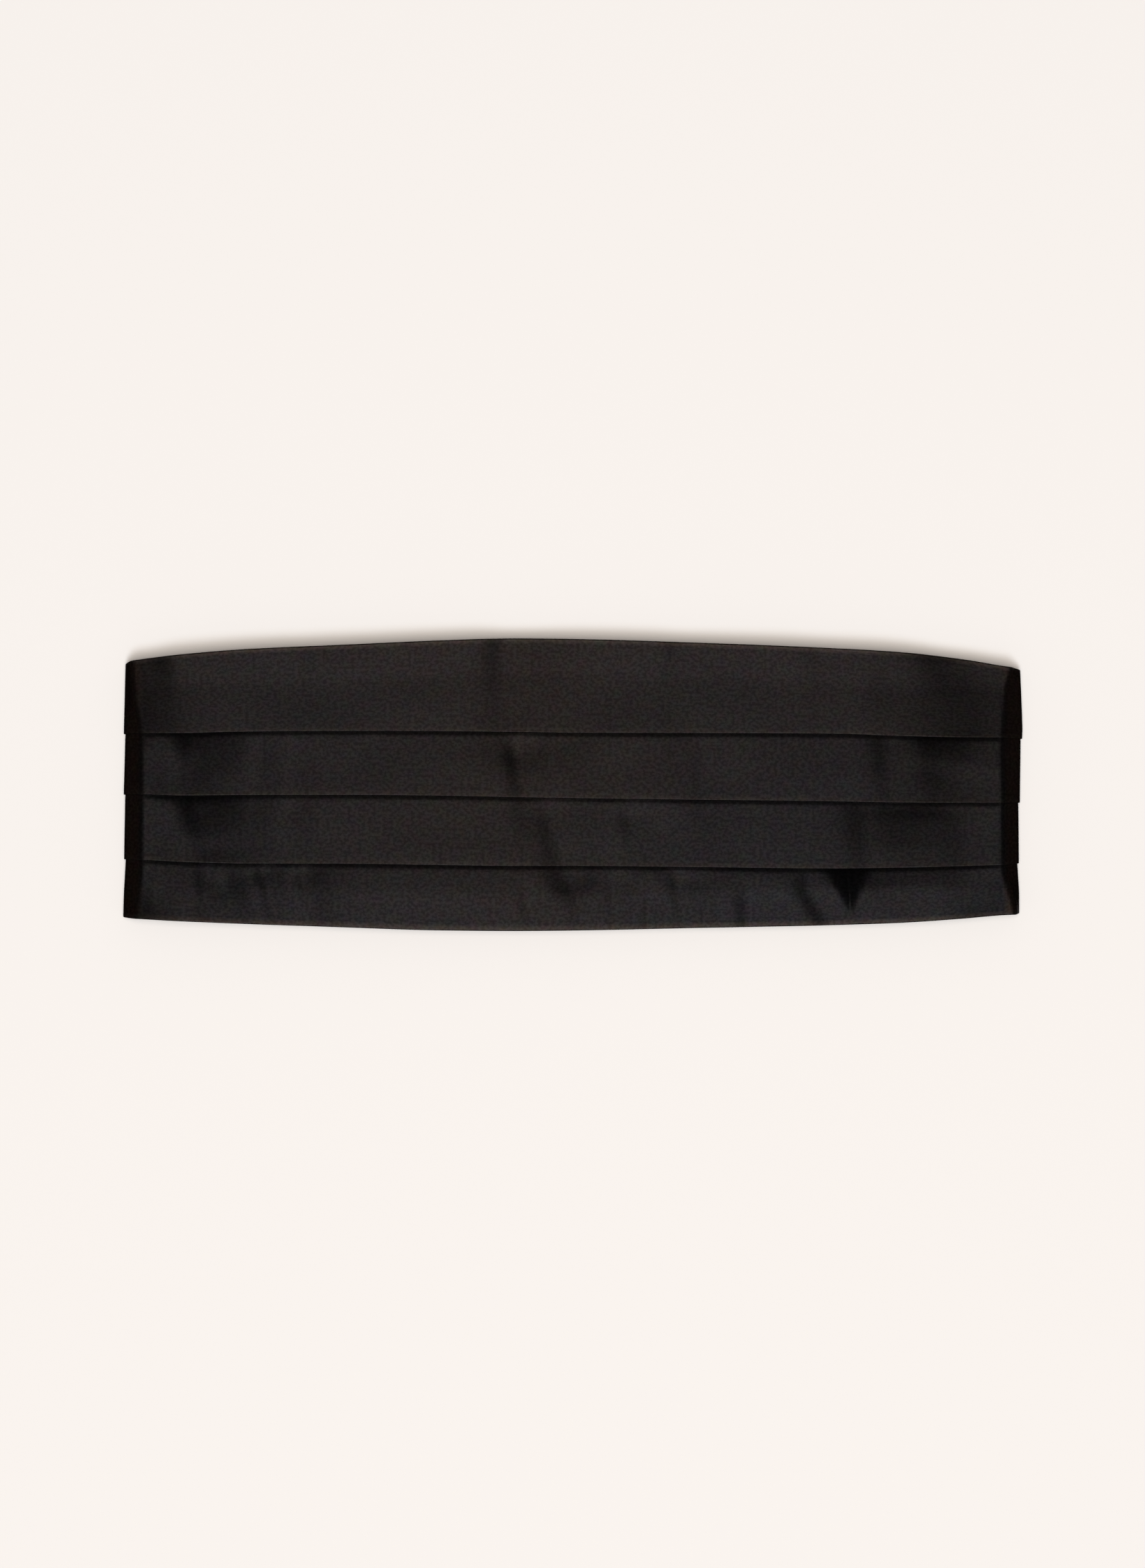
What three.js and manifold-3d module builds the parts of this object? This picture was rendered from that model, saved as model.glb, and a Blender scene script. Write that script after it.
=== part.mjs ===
// A satin cummerbund, fastened behind and laid flat with its pleated front up.
// Millimetres. +X runs to the right along the front, +Y to its top edge, and +Z up
// from the surface it lies on. The origin is under the middle of the front.

import * as THREE from 'three';
import { mergeVertices } from 'three/addons/utils/BufferGeometryUtils.js';
import Module from 'manifold-3d';

const wasm = await Module();
wasm.setup();

// ---- The pleated panel -------------------------------------------------------------------

const LAID_WIDTH = 400;       // from one end turn to the other
const CLOTH = 1;              // wall of the satin
const LAYER_GAP = 0.4;        // air between two layers of a pleat
const FRONT_SAG = 1.5;        // the middle of the front sinks this far below its ends
const WING_LENGTH = 91;       // cloth that lies under the front past each turn

// Each end turns down over a crease, slopes to a rim near the surface and turns under there.
const END_REACH = 8.5;        // from the crease to the rim
const END_SLOPE = Math.PI / 3;
const CREASE_RADIUS = 5;
const RIM_RADIUS = 4.5;
const SLOPE_LENGTH = (END_REACH - CREASE_RADIUS * Math.sin(END_SLOPE)
  - RIM_RADIUS * (1 - Math.sin(END_SLOPE))) / Math.cos(END_SLOPE);
const FRONT_HEIGHT = CREASE_RADIUS * (1 - Math.cos(END_SLOPE))
  + SLOPE_LENGTH * Math.sin(END_SLOPE) + RIM_RADIUS * (1 + Math.cos(END_SLOPE));

const FRONT_HALF = LAID_WIDTH / 2 - END_REACH;
const CREASE_END = FRONT_HALF + CREASE_RADIUS * END_SLOPE;
const RIM_START = CREASE_END + SLOPE_LENGTH;
const RIM_END = RIM_START + RIM_RADIUS * (Math.PI - END_SLOPE);
const PANEL_HALF = RIM_END + WING_LENGTH;

// Heights of the three layers of a pleat, from the panel's outer face inwards.
const LAYER_PITCH = CLOTH + LAYER_GAP;
const OUTER_LAYER = -CLOTH / 2;
const MIDDLE_LAYER = OUTER_LAYER - LAYER_PITCH;
const INNER_LAYER = MIDDLE_LAYER - LAYER_PITCH;
const PANEL_DEPTH = CLOTH + 2 * LAYER_PITCH;

// One row for each place along the cloth, measured on its outer face from the middle of the
// front. top and bottom are the edges, fold1 to fold3 the folded edges of the pleats, pleat
// and hem the cloth turned back behind a fold and an edge. press says which side is flat:
// 0 where the cloth lies on its inner layers, 1 where it lies on its outer face.
const COLUMNS = ['along', 'top', 'fold1', 'fold2', 'fold3', 'bottom', 'pleat', 'hem', 'press'];
const SECTIONS = [
  [-305, 33.0, 14.0, -2.0, -18.0, -33.0, 8.0, 6.0, 1],
  [-258, 43.5, 18.3, -3.2, -25.8, -46.0, 10.0, 8.0, 1],
  [-214, 51.6, 21.5, -4.3, -32.4, -56.5, 11.5, 10.0, 1],
  [-205, 53.8, 22.5, -4.5, -33.3, -59.0, 12.0, 11.0, 0.9],
  [-191, 55.8, 22.7, -4.5, -33.6, -59.7, 12.5, 12.0, 0.45],
  [-174, 57.8, 22.7, -5.0, -34.4, -60.6, 13.5, 14.0, 0],
  [-146, 60.1, 23.3, -4.8, -35.2, -61.8, 14.0, 16.0, 0],
  [-100, 62.2, 23.6, -4.8, -35.3, -63.4, 14.0, 16.0, 0],
  [-60, 64.0, 23.5, -5.1, -35.9, -64.7, 14.0, 16.0, 0],
  [-25, 65.0, 23.2, -5.8, -36.3, -65.0, 14.0, 16.0, 0],
  [0, 64.7, 22.8, -6.2, -36.3, -64.8, 14.0, 16.0, 0],
  [54, 63.1, 22.7, -6.9, -36.8, -63.7, 14.0, 16.0, 0],
  [115, 60.6, 22.4, -7.6, -37.4, -62.4, 14.0, 16.0, 0],
  [146, 58.8, 21.4, -8.1, -37.0, -61.3, 14.0, 15.5, 0],
  [174, 55.6, 20.8, -8.2, -36.3, -59.4, 13.5, 13.0, 0],
  [191, 52.8, 20.7, -8.2, -35.8, -58.0, 12.5, 11.0, 0.45],
  [205, 51.0, 20.4, -8.1, -35.0, -57.4, 12.0, 10.0, 0.9],
  [214, 49.5, 19.6, -7.8, -33.4, -55.0, 11.5, 9.0, 1],
  [258, 41.5, 17.0, -5.5, -26.5, -45.0, 10.0, 7.5, 1],
  [305, 33.0, 14.0, -2.0, -18.0, -33.0, 8.0, 6.0, 1],
];

const RAMP_PER_PLEAT = 0.42;   // a layer changes height over this share of the pleat's depth
const BEND_STEPS = 3;          // flats round each folded edge
const FRONT_STEPS = 20;
const CREASE_STEPS = 3;
const RIM_STEPS = 8;
const WING_STEPS = 4;

// Slopes for a smooth curve through one column of the table that never overshoots its rows.
function columnSlopes(column) {
  const rise = (i) => (SECTIONS[i + 1][column] - SECTIONS[i][column])
    / (SECTIONS[i + 1][0] - SECTIONS[i][0]);
  return SECTIONS.map((row, i) => {
    if (i === 0) return rise(0);
    if (i === SECTIONS.length - 1) return rise(i - 1);
    const before = rise(i - 1);
    const after = rise(i);
    return before * after <= 0 ? 0 : 2 * before * after / (before + after);
  });
}

const SLOPES = COLUMNS.map((name, column) => columnSlopes(column));

// The row of measures at any place along the cloth.
function sectionAt(along) {
  let i = 0;
  while (i < SECTIONS.length - 2 && SECTIONS[i + 1][0] < along) i += 1;
  const span = SECTIONS[i + 1][0] - SECTIONS[i][0];
  const t = THREE.MathUtils.clamp((along - SECTIONS[i][0]) / span, 0, 1);
  const measures = {};
  COLUMNS.forEach((name, column) => {
    const start = SECTIONS[i][column];
    const end = SECTIONS[i + 1][column];
    const ease = t * t * (3 - 2 * t);
    const leave = t * (1 - t) * (1 - t) * span * SLOPES[column][i];
    const arrive = t * t * (1 - t) * span * SLOPES[column][i + 1];
    measures[name] = start + (end - start) * ease + leave - arrive;
  });
  return measures;
}

// A half turn of the cloth: y is where its outermost face reaches, points go from one layer
// to the other, and bulge is +1 where the turn points up the panel and -1 where it points down.
function halfTurn(y, fromLayer, toLayer, bulge) {
  const radius = Math.abs(fromLayer - toLayer) / 2;
  const centre = y - bulge * (radius + CLOTH / 2);
  const middle = (fromLayer + toLayer) / 2;
  const points = [];
  for (let k = 0; k <= BEND_STEPS; k += 1) {
    const angle = Math.PI * k / BEND_STEPS;
    points.push([
      centre + bulge * radius * Math.sin(angle),
      middle + (fromLayer - middle) * Math.cos(angle),
    ]);
  }
  return points;
}

// The cloth's middle line across the panel, from the raw edge of the top hem to that of the
// bottom hem, as [y, height from the outer face].
function pleatedLine(m) {
  const face = THREE.MathUtils.lerp(MIDDLE_LAYER, OUTER_LAYER, m.press);
  const hem = face - LAYER_PITCH;
  const ramp = RAMP_PER_PLEAT * m.pleat;
  const folds = [m.fold1, m.fold2, m.fold3];
  const line = [[m.top - m.hem, hem], ...halfTurn(m.top, hem, face, 1)];
  line.push([m.top - m.hem, face]);
  folds.forEach((fold) => {
    line.push([fold + m.pleat + ramp, face]);
    line.push([fold + m.pleat, OUTER_LAYER]);
    line.push(...halfTurn(fold, OUTER_LAYER, MIDDLE_LAYER, -1));
    line.push(...halfTurn(fold + m.pleat, MIDDLE_LAYER, INNER_LAYER, 1));
    line.push([fold, INNER_LAYER]);
    line.push([fold - ramp, face]);
  });
  line.push([m.bottom + m.hem, face]);
  line.push(...halfTurn(m.bottom, face, hem, -1), [m.bottom + m.hem, hem]);
  return line;
}

// Both faces of a band of even thickness about a middle line, mitred at its corners.
function bandFaces(line, thickness) {
  const direction = (a, b) => new THREE.Vector2(b[0] - a[0], b[1] - a[1]).normalize();
  const left = [];
  const right = [];
  line.forEach((point, i) => {
    const before = direction(line[Math.max(i - 1, 0)], line[Math.max(i, 1)]);
    const last = line.length - 1;
    const after = direction(line[Math.min(i, last - 1)], line[Math.min(i + 1, last)]);
    const along = before.clone().add(after).normalize();
    const reach = thickness / 2 / along.dot(after);
    left.push([point[0] - along.y * reach, point[1] + along.x * reach]);
    right.push([point[0] + along.y * reach, point[1] - along.x * reach]);
  });
  return { left, right };
}

// Where the cloth's outer face runs: over the front, down each end and back underneath.
function outerPath(along) {
  const side = along < 0 ? -1 : 1;
  const reach = Math.abs(along);
  const rimX = LAID_WIDTH / 2 - RIM_RADIUS;
  const facing = (angle) => new THREE.Vector2(side * Math.sin(angle), Math.cos(angle));
  if (reach <= FRONT_HALF) {
    const phase = Math.PI * along / FRONT_HALF;
    const z = FRONT_HEIGHT - FRONT_SAG * (1 + Math.cos(phase)) / 2;
    const slope = FRONT_SAG * Math.sin(phase) / 2 * Math.PI / FRONT_HALF;
    return { x: along, z, normal: new THREE.Vector2(-slope, 1).normalize() };
  }
  if (reach < CREASE_END) {
    const normal = facing((reach - FRONT_HALF) / CREASE_RADIUS);
    const x = side * FRONT_HALF + CREASE_RADIUS * normal.x;
    return { x, z: FRONT_HEIGHT + CREASE_RADIUS * (normal.y - 1), normal };
  }
  if (reach < RIM_START) {
    const normal = facing(END_SLOPE);
    const toRim = RIM_START - reach;
    const x = side * (rimX - toRim * Math.cos(END_SLOPE)) + RIM_RADIUS * normal.x;
    const z = RIM_RADIUS * (1 + normal.y) + toRim * Math.sin(END_SLOPE);
    return { x, z, normal };
  }
  if (reach < RIM_END) {
    const normal = facing(END_SLOPE + (reach - RIM_START) / RIM_RADIUS);
    return { x: side * rimX + RIM_RADIUS * normal.x, z: RIM_RADIUS * (1 + normal.y), normal };
  }
  return { x: side * (rimX - reach + RIM_END), z: 0, normal: facing(Math.PI) };
}

// Even steps over each stretch of the left half, mirrored for the right half.
function panelStations() {
  const stretches = [
    [PANEL_HALF, RIM_END, WING_STEPS],
    [RIM_END, RIM_START, RIM_STEPS],
    [RIM_START, CREASE_END, 1],
    [CREASE_END, FRONT_HALF, CREASE_STEPS],
    [FRONT_HALF, 0, FRONT_STEPS / 2],
  ];
  const half = [];
  stretches.forEach(([start, end, steps]) => {
    for (let k = 0; k < steps; k += 1) half.push(start + (end - start) * k / steps);
  });
  return [...half.map((along) => -along), 0, ...half.reverse()];
}

// The closed wall: one ring of points for each station, joined ring to ring, with both ends shut.
function pleatedPanelGeometry() {
  const positions = [];
  const triangles = [];
  const stations = panelStations();
  let ringSize = 0;
  stations.forEach((along) => {
    const { left, right } = bandFaces(pleatedLine(sectionAt(along)), CLOTH);
    const ring = [...left, ...right.reverse()];
    const place = outerPath(along);
    ring.forEach(([y, height]) => {
      positions.push(place.x + place.normal.x * height, y, place.z + place.normal.y * height);
    });
    ringSize = ring.length;
  });
  for (let s = 0; s < stations.length - 1; s += 1) {
    for (let k = 0; k < ringSize; k += 1) {
      const a = s * ringSize + k;
      const b = s * ringSize + (k + 1) % ringSize;
      triangles.push(a, a + ringSize, b + ringSize, a, b + ringSize, b);
    }
  }
  const lastRing = (stations.length - 1) * ringSize;
  for (let k = 0; k < ringSize / 2 - 1; k += 1) {
    const facing = ringSize - 1 - k;
    triangles.push(k, k + 1, facing - 1, k, facing - 1, facing);
    triangles.push(lastRing + k, lastRing + facing, lastRing + facing - 1);
    triangles.push(lastRing + k, lastRing + facing - 1, lastRing + k + 1);
  }
  const geometry = new THREE.BufferGeometry();
  geometry.setAttribute('position', new THREE.Float32BufferAttribute(positions, 3));
  geometry.setIndex(triangles);
  return geometry;
}

// ---- Straps ------------------------------------------------------------------------------

const STRAP_WIDTH = 35;
const STRAP_WALL = 1;
const CONTACT_GAP = 0.3;       // between two pieces that touch
const SEWN_OVERLAP = 14;       // strap that lies on the inside of the panel's end

const WING_TIP = LAID_WIDTH / 2 - RIM_RADIUS - WING_LENGTH;
const ON_SURFACE = STRAP_WALL / 2;
const ON_STRAP = ON_SURFACE + STRAP_WALL + CONTACT_GAP;
const ON_WING = PANEL_DEPTH + CONTACT_GAP + STRAP_WALL / 2;

// Slide adjuster: a flat frame whose two slots take the strap
const SLIDE_THICKNESS = 1.2;
const SLIDE_BAR = 3.5;
const SLIDE_LEFT = -71;
const SLIDE_SLOTS = [9, 8];    // left slot, right slot
const SLIDE_MIDDLE_BAR = SLIDE_LEFT + SLIDE_BAR + SLIDE_SLOTS[0];
const SLIDE_RIGHT_BAR = SLIDE_MIDDLE_BAR + SLIDE_BAR + SLIDE_SLOTS[1];
const SLIDE_BASE = ON_STRAP + STRAP_WALL / 2 + CONTACT_GAP;
const OVER_SLIDE = SLIDE_BASE + SLIDE_THICKNESS + CONTACT_GAP + STRAP_WALL / 2;

// Clasp: two flat plates, each with a bar for its strap
const CLASP_THICKNESS = 1.6;
const CLASP_BASE = STRAP_WALL + CONTACT_GAP;
const CLASP_BAR = 3;
const CLASP_SLOT = 3.5;
const HOOK_LEFT = 3;
const EYE_LEFT = 22;
const EYE_OPENING = 6;
const EYE_RIB = 2.5;
const LOOP_RADIUS = CLASP_THICKNESS / 2 + CONTACT_GAP + STRAP_WALL / 2;
const LOOP_HEIGHT = CLASP_BASE + CLASP_THICKNESS / 2;
const OVER_CLASP = LOOP_HEIGHT + LOOP_RADIUS;
const HOOK_BAR_EDGE = HOOK_LEFT + CLASP_BAR;
const EYE_BAR_EDGE = EYE_LEFT + CLASP_BAR + EYE_OPENING + EYE_RIB + CLASP_SLOT;

const LOOP_STEPS = 8;
const STEEP = 8;               // length of a rise or fall from one level to the next
const ROUND_OFF = 0.3;         // a strap starts to fall this far past a bar's edge
const SLIDE_CLEARANCE = 2;     // a strap is down on the surface this far before a bar
const STRAP_END = 1.5;         // a strap's sewn end passes the bar it goes round by this

// A half circle of strap about a bar's edge, from below it to above it.
function loopRound(x, z, radius, side) {
  const points = [];
  for (let k = 0; k <= LOOP_STEPS; k += 1) {
    const angle = Math.PI * k / LOOP_STEPS;
    points.push([x + side * radius * Math.sin(angle), z - radius * Math.cos(angle)]);
  }
  return points;
}

// A band of even width, swept across the panel along a line of [x, z] points.
function strapGeometry(line) {
  const { left, right } = bandFaces(line, STRAP_WALL);
  const outline = [...left, ...right.reverse()].map(([x, z]) => new THREE.Vector2(x, z));
  const geometry = new THREE.ExtrudeGeometry(new THREE.Shape(outline), {
    depth: STRAP_WIDTH, bevelEnabled: false, steps: 1,
  });
  geometry.translate(0, 0, -STRAP_WIDTH / 2);
  return geometry.rotateX(Math.PI / 2);
}

// From the left wing over the slide's left bar, under its middle bar to the hook, round the
// hook's bar, back over the slide's right bar and round its middle bar, where it is sewn.
function leftStrapLine() {
  const slideEdge = SLIDE_LEFT + SLIDE_BAR;
  return [
    [-WING_TIP - SEWN_OVERLAP, ON_WING],
    [-WING_TIP + ROUND_OFF, ON_WING],
    [-WING_TIP + ROUND_OFF + STEEP, ON_SURFACE],
    [SLIDE_LEFT - ROUND_OFF - STEEP, ON_SURFACE],
    [SLIDE_LEFT - ROUND_OFF, OVER_SLIDE],
    [slideEdge + ROUND_OFF, OVER_SLIDE],
    [SLIDE_MIDDLE_BAR - SLIDE_CLEARANCE, ON_SURFACE],
    ...loopRound(HOOK_BAR_EDGE, LOOP_HEIGHT, LOOP_RADIUS, 1),
    [HOOK_LEFT - ROUND_OFF, OVER_CLASP],
    [HOOK_LEFT - ROUND_OFF - STEEP, ON_STRAP],
    [SLIDE_RIGHT_BAR + SLIDE_BAR + ROUND_OFF + STEEP, ON_STRAP],
    [SLIDE_RIGHT_BAR + SLIDE_BAR + ROUND_OFF, OVER_SLIDE],
    [SLIDE_RIGHT_BAR - ROUND_OFF, OVER_SLIDE],
    [SLIDE_MIDDLE_BAR + SLIDE_BAR + ROUND_OFF, ON_STRAP],
    ...loopRound(SLIDE_MIDDLE_BAR, (ON_STRAP + OVER_SLIDE) / 2, (OVER_SLIDE - ON_STRAP) / 2, -1),
    [SLIDE_MIDDLE_BAR + SLIDE_BAR + STRAP_END, OVER_SLIDE],
  ];
}

// From the right wing to the eye, round the eye's bar and back on itself, where it is sewn.
function rightStrapLine() {
  const returnLength = 25;
  const barOuterEdge = EYE_BAR_EDGE + CLASP_BAR;
  return [
    [WING_TIP + SEWN_OVERLAP, ON_WING],
    [WING_TIP - ROUND_OFF, ON_WING],
    [WING_TIP - ROUND_OFF - STEEP, ON_SURFACE],
    ...loopRound(EYE_BAR_EDGE, LOOP_HEIGHT, LOOP_RADIUS, -1),
    [barOuterEdge + ROUND_OFF, OVER_CLASP],
    [barOuterEdge + ROUND_OFF + STEEP, ON_STRAP],
    [barOuterEdge + ROUND_OFF + STEEP + returnLength, ON_STRAP],
  ];
}

// ---- Slide and clasp ---------------------------------------------------------------------

const FRAME_MARGIN = 0.5;      // a slot is this much longer than the strap is wide, each side
const FRAME_ARM = 3;           // metal beside a slot
const CORNER = 1.5;
const CORNER_STEPS = 2;
const HOOK_PLATE = 8.5;        // plate between the hook's slot and its tongue
const TONGUE_WIDTH = 16;
const TONGUE_WALL = 1;
const TONGUE_ROOT = 4;         // tongue that is one with the hook's plate
const TONGUE_FLAT = 1;         // plate's end that the tongue starts to rise from
const TONGUE_LEAD = 1.5;       // the tongue is up this far before the eye
const TONGUE_RETURN = 1;       // and comes back this far past the eye's first bar
const OPENING_MARGIN = 1.5;    // the eye is this much longer than the tongue, each side

const SLOT_HALF = STRAP_WIDTH / 2 + FRAME_MARGIN;
const FRAME_HALF = SLOT_HALF + FRAME_ARM;

// A rectangle with round corners, from x0 to x1 and as far each side of the middle.
function roundedRectangle(x0, x1, half, radius, Kind) {
  const outline = new Kind();
  outline.moveTo(x0 + radius, -half);
  outline.lineTo(x1 - radius, -half);
  outline.absarc(x1 - radius, -half + radius, radius, -Math.PI / 2, 0);
  outline.lineTo(x1, half - radius);
  outline.absarc(x1 - radius, half - radius, radius, 0, Math.PI / 2);
  outline.lineTo(x0 + radius, half);
  outline.absarc(x0 + radius, half - radius, radius, Math.PI / 2, Math.PI);
  outline.lineTo(x0, -half + radius);
  outline.absarc(x0 + radius, -half + radius, radius, Math.PI, 3 * Math.PI / 2);
  return outline;
}

// A flat plate with slots, given as [x0, x1, half length] each.
function slottedPlate(x0, x1, base, thickness, slots) {
  const plate = roundedRectangle(x0, x1, FRAME_HALF, CORNER, THREE.Shape);
  slots.forEach(([start, end, half]) => {
    plate.holes.push(roundedRectangle(start, end, half, FRAME_MARGIN, THREE.Path));
  });
  const geometry = new THREE.ExtrudeGeometry(plate, {
    depth: thickness, bevelEnabled: false, curveSegments: CORNER_STEPS, steps: 1,
  });
  return geometry.translate(0, 0, base);
}

function slideGeometry() {
  const right = SLIDE_RIGHT_BAR + SLIDE_BAR;
  return slottedPlate(SLIDE_LEFT, right, SLIDE_BASE, SLIDE_THICKNESS, [
    [SLIDE_LEFT + SLIDE_BAR, SLIDE_MIDDLE_BAR, SLOT_HALF],
    [SLIDE_MIDDLE_BAR + SLIDE_BAR, SLIDE_RIGHT_BAR, SLOT_HALF],
  ]);
}

function eyeGeometry() {
  const opening = EYE_LEFT + CLASP_BAR;
  const right = EYE_BAR_EDGE + CLASP_BAR;
  return slottedPlate(EYE_LEFT, right, CLASP_BASE, CLASP_THICKNESS, [
    [opening, opening + EYE_OPENING, TONGUE_WIDTH / 2 + OPENING_MARGIN],
    [EYE_BAR_EDGE - CLASP_SLOT, EYE_BAR_EDGE, SLOT_HALF],
  ]);
}

// A three.js geometry as a solid that can be joined.
function solidOf(geometry) {
  const bare = geometry.clone();
  bare.deleteAttribute('normal');
  bare.deleteAttribute('uv');
  const merged = mergeVertices(bare, 1e-4);
  return new wasm.Manifold(new wasm.Mesh({
    numProp: 3,
    vertProperties: new Float32Array(merged.attributes.position.array),
    triVerts: new Uint32Array(merged.index.array),
  }));
}

function geometryOf(solid) {
  const mesh = solid.getMesh();
  const geometry = new THREE.BufferGeometry();
  geometry.setAttribute('position', new THREE.BufferAttribute(mesh.vertProperties, 3));
  geometry.setIndex(new THREE.BufferAttribute(mesh.triVerts, 1));
  return geometry;
}

// The hook's plate with its tongue, which passes over the eye's first bar, down through the
// eye and back under the bar.
function hookGeometry() {
  const plateRight = HOOK_BAR_EDGE + CLASP_SLOT + HOOK_PLATE;
  const plate = slottedPlate(HOOK_LEFT, plateRight, CLASP_BASE, CLASP_THICKNESS, [
    [HOOK_BAR_EDGE, HOOK_BAR_EDGE + CLASP_SLOT, SLOT_HALF],
  ]);
  const barTop = CLASP_BASE + CLASP_THICKNESS;
  const over = barTop + CONTACT_GAP + TONGUE_WALL / 2;
  const under = TONGUE_WALL / 2;
  const turn = EYE_LEFT + CLASP_BAR + CONTACT_GAP + TONGUE_WALL / 2;
  const chamfer = TONGUE_WALL / 2;
  const line = [
    [plateRight - TONGUE_ROOT, barTop - TONGUE_WALL / 2],
    [plateRight - TONGUE_FLAT, barTop - TONGUE_WALL / 2],
    [EYE_LEFT - TONGUE_LEAD, over],
    [turn - chamfer, over],
    [turn, over - chamfer],
    [turn, under + chamfer],
    [turn - chamfer, under],
    [EYE_LEFT - TONGUE_RETURN, under],
  ];
  const { left, right } = bandFaces(line, TONGUE_WALL);
  const outline = [...left, ...right.reverse()].map(([x, z]) => new THREE.Vector2(x, z));
  const tongue = new THREE.ExtrudeGeometry(new THREE.Shape(outline), {
    depth: TONGUE_WIDTH, bevelEnabled: false, steps: 1,
  });
  tongue.translate(0, 0, -TONGUE_WIDTH / 2).rotateX(Math.PI / 2);
  return geometryOf(solidOf(plate).add(solidOf(tongue)));
}

// ---- The object --------------------------------------------------------------------------

const satin = { color: 0x100e0e, roughness: 0.5, metalness: 0 };
const ribbon = { color: 0x141213, roughness: 0.75, metalness: 0 };
const metal = { color: 0x1c1c1e, roughness: 0.35, metalness: 0.9 };

const cummerbund = new THREE.Group();

function addPiece(name, geometry, finish) {
  const piece = new THREE.Mesh(geometry, new THREE.MeshStandardMaterial(finish));
  piece.name = name;
  cummerbund.add(piece);
}

addPiece('pleated_panel', pleatedPanelGeometry(), satin);
addPiece('left_strap', strapGeometry(leftStrapLine()), ribbon);
addPiece('right_strap', strapGeometry(rightStrapLine()), ribbon);
addPiece('strap_slide', slideGeometry(), metal);
addPiece('clasp_hook', hookGeometry(), metal);
addPiece('clasp_eye', eyeGeometry(), metal);

export default cummerbund;
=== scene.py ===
import math
from collections import namedtuple

import bmesh
import bpy
from mathutils import Matrix, Vector, noise
from mathutils.bvhtree import BVHTree


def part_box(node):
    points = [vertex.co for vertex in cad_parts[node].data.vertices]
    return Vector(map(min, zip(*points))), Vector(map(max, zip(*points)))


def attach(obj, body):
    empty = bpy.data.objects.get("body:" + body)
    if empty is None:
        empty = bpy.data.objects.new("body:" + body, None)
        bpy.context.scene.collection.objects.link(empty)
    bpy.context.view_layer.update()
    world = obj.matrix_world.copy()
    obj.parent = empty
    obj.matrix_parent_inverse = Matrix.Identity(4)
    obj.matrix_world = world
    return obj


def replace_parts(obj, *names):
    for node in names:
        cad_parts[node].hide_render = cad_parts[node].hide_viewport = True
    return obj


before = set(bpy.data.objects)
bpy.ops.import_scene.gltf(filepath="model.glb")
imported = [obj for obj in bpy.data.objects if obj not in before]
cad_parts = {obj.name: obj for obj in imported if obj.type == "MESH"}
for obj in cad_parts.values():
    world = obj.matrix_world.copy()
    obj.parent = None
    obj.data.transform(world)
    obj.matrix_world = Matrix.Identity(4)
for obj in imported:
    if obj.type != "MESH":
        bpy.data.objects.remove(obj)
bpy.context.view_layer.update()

# ---- Pleated panel -----------------------------------------------------------------------
# The whole front and both of its ends are one piece of black satin. Its long edges are
# hemmed, three knife pleats that point down are pressed along it, and its ends turn under.

MM = 0.001
panel_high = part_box("pleated_panel")[1]
half_width = panel_high.x / MM
front_height = panel_high.z / MM

# Places along the cloth, in millimetres from the middle of the front: the edges, the folded
# edges of the pleats, the cloth turned back behind a pleat and a hem, and how flat the outer
# face is pressed, from 0 over the front to 1 where the cloth lies on that face.
Measures = namedtuple("Measures", "along top fold1 fold2 fold3 bottom pleat hem press")
sections = [
    Measures(-305, 33.0, 14.0, -2.0, -18.0, -33.0, 8.0, 6.0, 1),
    Measures(-258, 43.5, 18.3, -3.2, -25.8, -46.0, 10.0, 8.0, 1),
    Measures(-214, 51.6, 21.5, -4.3, -32.4, -56.5, 11.5, 10.0, 1),
    Measures(-205, 53.8, 22.5, -4.5, -33.3, -59.0, 12.0, 11.0, 0.9),
    Measures(-191, 55.8, 22.7, -4.5, -33.6, -59.7, 12.5, 12.0, 0.45),
    Measures(-174, 57.8, 22.7, -5.0, -34.4, -60.6, 13.5, 14.0, 0),
    Measures(-146, 60.1, 23.3, -4.8, -35.2, -61.8, 14.0, 16.0, 0),
    Measures(-100, 62.2, 23.6, -4.8, -35.3, -63.4, 14.0, 16.0, 0),
    Measures(-60, 64.0, 23.5, -5.1, -35.9, -64.7, 14.0, 16.0, 0),
    Measures(-25, 65.0, 23.2, -5.8, -36.3, -65.0, 14.0, 16.0, 0),
    Measures(0, 64.7, 22.8, -6.2, -36.3, -64.8, 14.0, 16.0, 0),
    Measures(54, 63.1, 22.7, -6.9, -36.8, -63.7, 14.0, 16.0, 0),
    Measures(115, 60.6, 22.4, -7.6, -37.4, -62.4, 14.0, 16.0, 0),
    Measures(146, 58.8, 21.4, -8.1, -37.0, -61.3, 14.0, 15.5, 0),
    Measures(174, 55.6, 20.8, -8.2, -36.3, -59.4, 13.5, 13.0, 0),
    Measures(191, 52.8, 20.7, -8.2, -35.8, -58.0, 12.5, 11.0, 0.45),
    Measures(205, 51.0, 20.4, -8.1, -35.0, -57.4, 12.0, 10.0, 0.9),
    Measures(214, 49.5, 19.6, -7.8, -33.4, -55.0, 11.5, 9.0, 1),
    Measures(258, 41.5, 17.0, -5.5, -26.5, -45.0, 10.0, 7.5, 1),
    Measures(305, 33.0, 14.0, -2.0, -18.0, -33.0, 8.0, 6.0, 1),
]


def slope_at(row, column):
    """The slope, at one row, of a smooth curve through a column that never overshoots."""

    def rise(first):
        here, there = sections[first], sections[first + 1]
        return (there[column] - here[column]) / (there.along - here.along)

    if row == 0:
        return rise(0)
    if row == len(sections) - 1:
        return rise(row - 1)
    before, after = rise(row - 1), rise(row)
    return 0 if before * after <= 0 else 2 * before * after / (before + after)


column_range = range(len(Measures._fields))
slopes = [[slope_at(row, column) for column in column_range] for row in range(len(sections))]


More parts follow.
